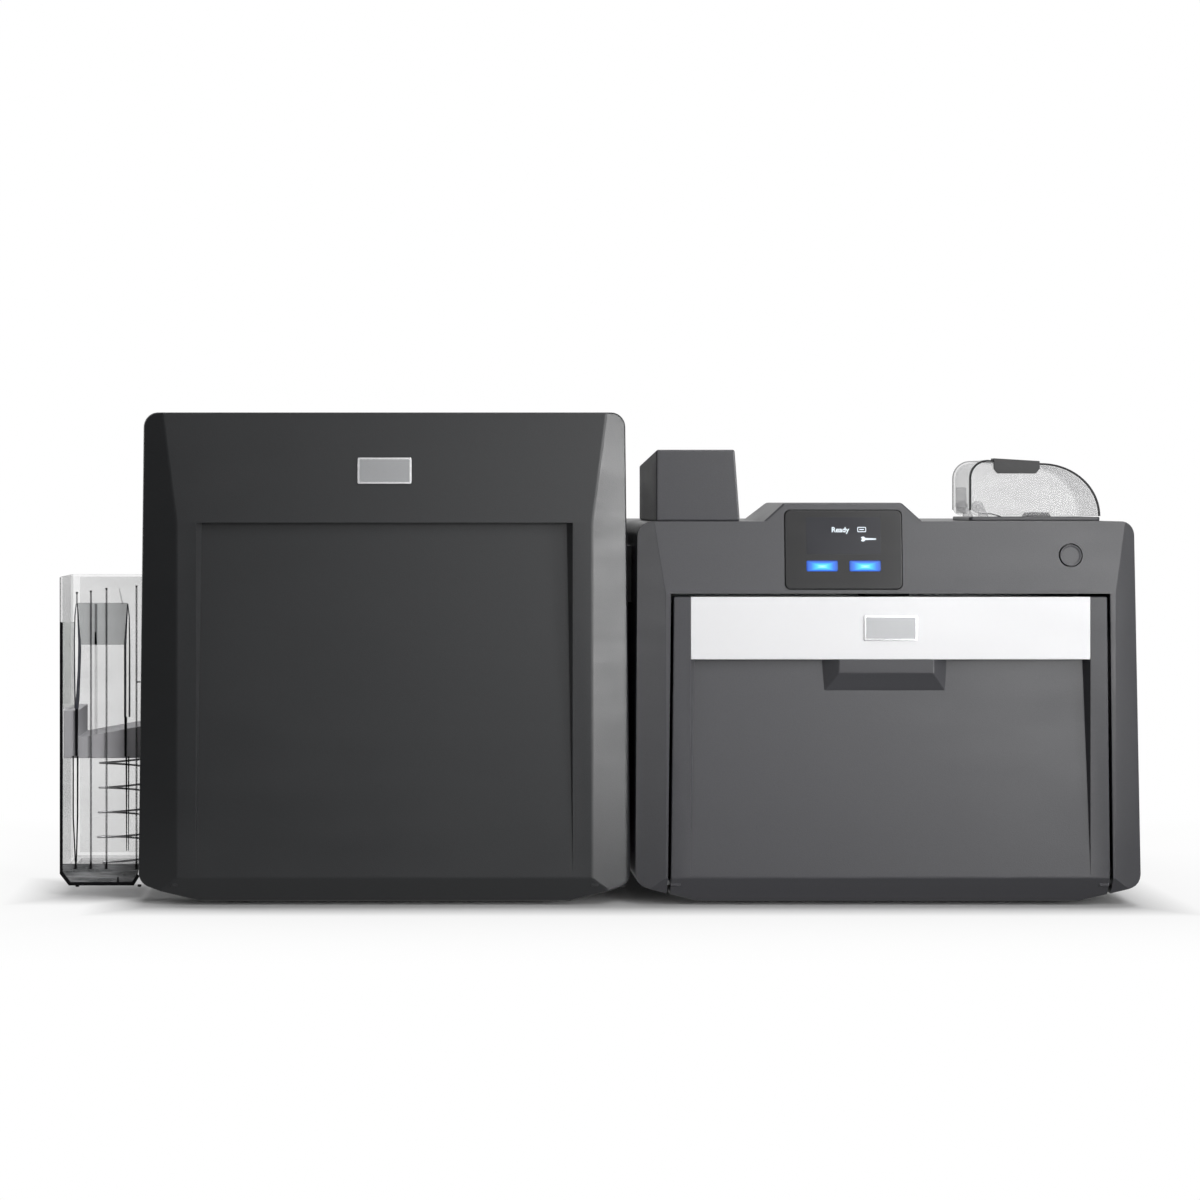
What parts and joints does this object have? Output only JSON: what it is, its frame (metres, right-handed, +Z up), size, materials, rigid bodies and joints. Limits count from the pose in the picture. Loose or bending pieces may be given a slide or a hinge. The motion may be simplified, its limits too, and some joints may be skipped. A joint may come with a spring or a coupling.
{
  "type": "id card printer with lamination module",
  "caption": "Desktop card printer with a drop-down door, display and smoke hopper cover, docked to a tall lamination module with a clear output hopper.",
  "frame": {"origin": "middle of the row's footprint, on the surface it stands on", "axes": "+X to the right along the row, +Y to the back, the fronts face -Y, +Z up"},
  "size_m": [0.8206, 0.322, 0.372],
  "materials": {
    "charcoal_casing": "finely textured charcoal plastic",
    "black_plastic": "satin black plastic",
    "gloss_bezel": "glossy black",
    "lit_button": "blue lit translucent key",
    "clear_plastic": "clear moulded plastic",
    "smoke_plastic": "smoke tinted clear plastic",
    "silver_trim": "bright silver paint",
    "sheet_steel": "plated sheet steel",
    "spring_steel": "drawn spring wire",
    "roller_rubber": "ground rubber",
    "heated_silicone": "red silicone sleeve",
    "film_wound": "wound film",
    "ribbon_wound": "wound colour ribbon",
    "motor_black": "black lacquered motor can",
    "pinion_brass": "turned brass",
    "circuit_board": "green circuit board",
    "head_ceramic": "cast head with a ceramic edge",
    "flipper_grey": "grey filled plastic"
  },
  "bodies": {
    "housings": {"hopper_dock": "black_plastic", "module_base": "black_plastic", "module_casing": "charcoal_casing", "module_rear_plate": "sheet_steel", "module_front_plate": "sheet_steel", "laminate_cartridge": "black_plastic", "module_motor": "motor_black", "module_power_inlet": "black_plastic", "hinge_pins": "sheet_steel", "feet": "roller_rubber", "dock_collar": "black_plastic", "printer_base": "black_plastic", "printer_casing": "charcoal_casing", "back_panel": "sheet_steel", "display_bezel": "gloss_bezel", "display_board": "circuit_board", "input_hopper_base": "black_plastic", "flipper_cover": "charcoal_casing", "rear_frame_plate": "sheet_steel", "front_frame_plate": "sheet_steel", "film_cartridge": "black_plastic", "ribbon_cartridge": "black_plastic", "drive_motor": "motor_black", "power_supply": "sheet_steel", "control_board": "circuit_board", "power_inlet": "black_plastic"},
    "output_hopper": {"hopper_bin": "clear_plastic", "hopper_spring": "spring_steel"},
    "platform": {"hopper_platform": "black_plastic"},
    "module_front": {"module_cover": "charcoal_casing", "module_badge": "silver_trim"},
    "front_door": {"printer_door": "charcoal_casing", "door_band": "silver_trim", "door_handle": "charcoal_casing", "door_badge": "silver_trim"},
    "left_button": {"left_soft_button": "lit_button"},
    "right_button": {"right_soft_button": "lit_button"},
    "power_key": {"power_button": "charcoal_casing"},
    "smoke_cover": {"input_hopper_cover": "smoke_plastic", "cover_grip_tab": "black_plastic"},
    "weight": {"card_weight": "sheet_steel"},
    "flipper": {"flipper_table": "flipper_grey"},
    "flipper_roll": {"flipper_roller": "roller_rubber"},
    "feed_roll": {"feed_roller": "roller_rubber"},
    "transfer_roll": {"transfer_roller": "heated_silicone"},
    "transfer_drive_roll": {"transfer_platen": "roller_rubber"},
    "printer_pinion": {"motor_pinion": "pinion_brass"},
    "print_roll": {"print_platen": "roller_rubber"},
    "head": {"print_head": "head_ceramic"},
    "film_supply": {"film_supply_spool": "film_wound"},
    "film_takeup": {"film_takeup_spool": "film_wound"},
    "ribbon_supply": {"ribbon_supply_spool": "ribbon_wound"},
    "ribbon_takeup": {"ribbon_takeup_spool": "ribbon_wound"},
    "laminate_supply": {"laminate_supply_spool": "film_wound"},
    "laminate_takeup": {"laminate_takeup_spool": "film_wound"},
    "heat_roll": {"heat_roller": "heated_silicone"},
    "pressure_roll": {"pressure_roller": "roller_rubber"},
    "entry_roll": {"module_entry_roller": "roller_rubber"},
    "exit_roll": {"module_exit_roller": "roller_rubber"},
    "laminator_pinion": {"module_pinion": "pinion_brass"}
  },
  "joints": [
    {"name": "hopper_pull_off", "type": "slide", "parent": "housings", "child": "output_hopper", "axis": [-1, 0, 0], "range_m": [0, 0.12]},
    {"name": "platform_sink", "type": "slide", "parent": "output_hopper", "child": "platform", "axis": [0, 0, -1], "range_m": [0, 0.06], "stiffness_N_per_m": 90, "springref_m": -0.05, "deforming": ["hopper_spring"]},
    {"name": "module_front_swing", "type": "hinge", "parent": "housings", "child": "module_front", "pos_m": [-0.15995, -0.147, 0.018], "axis": [1, 0, 0], "range_deg": [0, 80]},
    {"name": "front_door_swing", "type": "hinge", "parent": "housings", "child": "front_door", "pos_m": [0.21975, -0.147, 0.018], "axis": [1, 0, 0], "range_deg": [0, 80]},
    {"name": "left_button_press", "type": "slide", "parent": "housings", "child": "left_button", "axis": [0, 0.9973, -0.0739], "range_m": [0, 0.001], "stiffness_N_per_m": 400, "springref_m": -0.001},
    {"name": "right_button_press", "type": "slide", "parent": "housings", "child": "right_button", "axis": [0, 0.9973, -0.0739], "range_m": [0, 0.001], "stiffness_N_per_m": 400, "springref_m": -0.001},
    {"name": "power_key_press", "type": "slide", "parent": "housings", "child": "power_key", "axis": [0, 0.9973, -0.0739], "range_m": [0, 0.0012], "stiffness_N_per_m": 400, "springref_m": -0.001},
    {"name": "smoke_cover_swing", "type": "hinge", "parent": "housings", "child": "smoke_cover", "pos_m": [0.29775, -0.072, 0.3007], "axis": [0, -1, 0], "range_deg": [0, 90]},
    {"name": "weight_lift", "type": "slide", "parent": "housings", "child": "weight", "axis": [0, 0, 1], "range_m": [0, 0.03]},
    {"name": "flipper_turn", "type": "hinge", "parent": "housings", "child": "flipper", "pos_m": [0.07575, -0.072, 0.262], "axis": [0, 1, 0], "continuous": true},
    {"name": "flipper_roll_spin", "type": "hinge", "parent": "flipper", "child": "flipper_roll", "pos_m": [0.09375, -0.072, 0.25657], "axis": [0, 1, 0], "continuous": true},
    {"name": "feed_roll_spin", "type": "hinge", "parent": "housings", "child": "feed_roll", "pos_m": [0.32075, -0.072, 0.2586], "axis": [0, 1, 0], "continuous": true},
    {"name": "transfer_drive_spin", "type": "hinge", "parent": "housings", "child": "transfer_drive_roll", "pos_m": [0.20525, -0.072, 0.24957], "axis": [0, 1, 0], "continuous": true},
    {"name": "transfer_roll_spin", "type": "hinge", "parent": "housings", "child": "transfer_roll", "pos_m": [0.20525, -0.072, 0.27243], "axis": [0, 1, 0], "continuous": true},
    {"name": "printer_pinion_spin", "type": "hinge", "parent": "housings", "child": "printer_pinion", "pos_m": [0.23513, -0.072, 0.2197], "axis": [0, 1, 0], "continuous": true},
    {"name": "print_roll_spin", "type": "hinge", "parent": "housings", "child": "print_roll", "pos_m": [0.22525, -0.072, 0.158], "axis": [0, 1, 0], "continuous": true},
    {"name": "head_drop", "type": "hinge", "parent": "housings", "child": "head", "pos_m": [0.26225, -0.072, 0.123], "axis": [0, -1, 0], "range_deg": [0, 6], "stiffness_Nm_per_rad": 6, "springref_deg": -5.73},
    {"name": "film_supply_spin", "type": "hinge", "parent": "housings", "child": "film_supply", "pos_m": [0.30125, -0.072, 0.163], "axis": [0, 1, 0], "continuous": true},
    {"name": "film_takeup_spin", "type": "hinge", "parent": "housings", "child": "film_takeup", "pos_m": [0.14725, -0.072, 0.163], "axis": [0, 1, 0], "continuous": true},
    {"name": "ribbon_supply_spin", "type": "hinge", "parent": "housings", "child": "ribbon_supply", "pos_m": [0.30125, -0.072, 0.074], "axis": [0, 1, 0], "continuous": true},
    {"name": "ribbon_takeup_spin", "type": "hinge", "parent": "housings", "child": "ribbon_takeup", "pos_m": [0.18925, -0.072, 0.074], "axis": [0, 1, 0], "continuous": true},
    {"name": "laminate_supply_spin", "type": "hinge", "parent": "housings", "child": "laminate_supply", "pos_m": [-0.20995, -0.072, 0.308], "axis": [0, 1, 0], "continuous": true},
    {"name": "laminate_takeup_spin", "type": "hinge", "parent": "housings", "child": "laminate_takeup", "pos_m": [-0.09395, -0.072, 0.308], "axis": [0, 1, 0], "continuous": true},
    {"name": "pressure_roll_spin", "type": "hinge", "parent": "housings", "child": "pressure_roll", "pos_m": [-0.14995, -0.072, 0.21957], "axis": [0, 1, 0], "continuous": true},
    {"name": "heat_roll_spin", "type": "hinge", "parent": "housings", "child": "heat_roll", "pos_m": [-0.14995, -0.072, 0.25243], "axis": [0, 1, 0], "continuous": true},
    {"name": "entry_roll_spin", "type": "hinge", "parent": "housings", "child": "entry_roll", "pos_m": [-0.04195, -0.072, 0.22857], "axis": [0, 1, 0], "continuous": true},
    {"name": "exit_roll_spin", "type": "hinge", "parent": "housings", "child": "exit_roll", "pos_m": [-0.27595, -0.072, 0.22857], "axis": [0, 1, 0], "continuous": true},
    {"name": "laminator_pinion_spin", "type": "hinge", "parent": "housings", "child": "laminator_pinion", "pos_m": [-0.12882, -0.072, 0.18298], "axis": [0, 1, 0], "continuous": true}
  ],
  "couplings": [
    {"joint": "transfer_roll_spin", "follows": "transfer_drive_spin", "ratio": -1.2},
    {"joint": "printer_pinion_spin", "follows": "transfer_drive_spin", "ratio": -3},
    {"joint": "film_takeup_spin", "follows": "film_supply_spin", "ratio": 1.2},
    {"joint": "print_roll_spin", "follows": "film_supply_spin", "ratio": -1.6},
    {"joint": "ribbon_takeup_spin", "follows": "ribbon_supply_spin", "ratio": 1.3},
    {"joint": "laminate_takeup_spin", "follows": "laminate_supply_spin", "ratio": 1.3333},
    {"joint": "heat_roll_spin", "follows": "pressure_roll_spin", "ratio": -1},
    {"joint": "entry_roll_spin", "follows": "pressure_roll_spin", "ratio": 2.2857},
    {"joint": "exit_roll_spin", "follows": "pressure_roll_spin", "ratio": 2.2857},
    {"joint": "laminator_pinion_spin", "follows": "pressure_roll_spin", "ratio": -3}
  ]
}
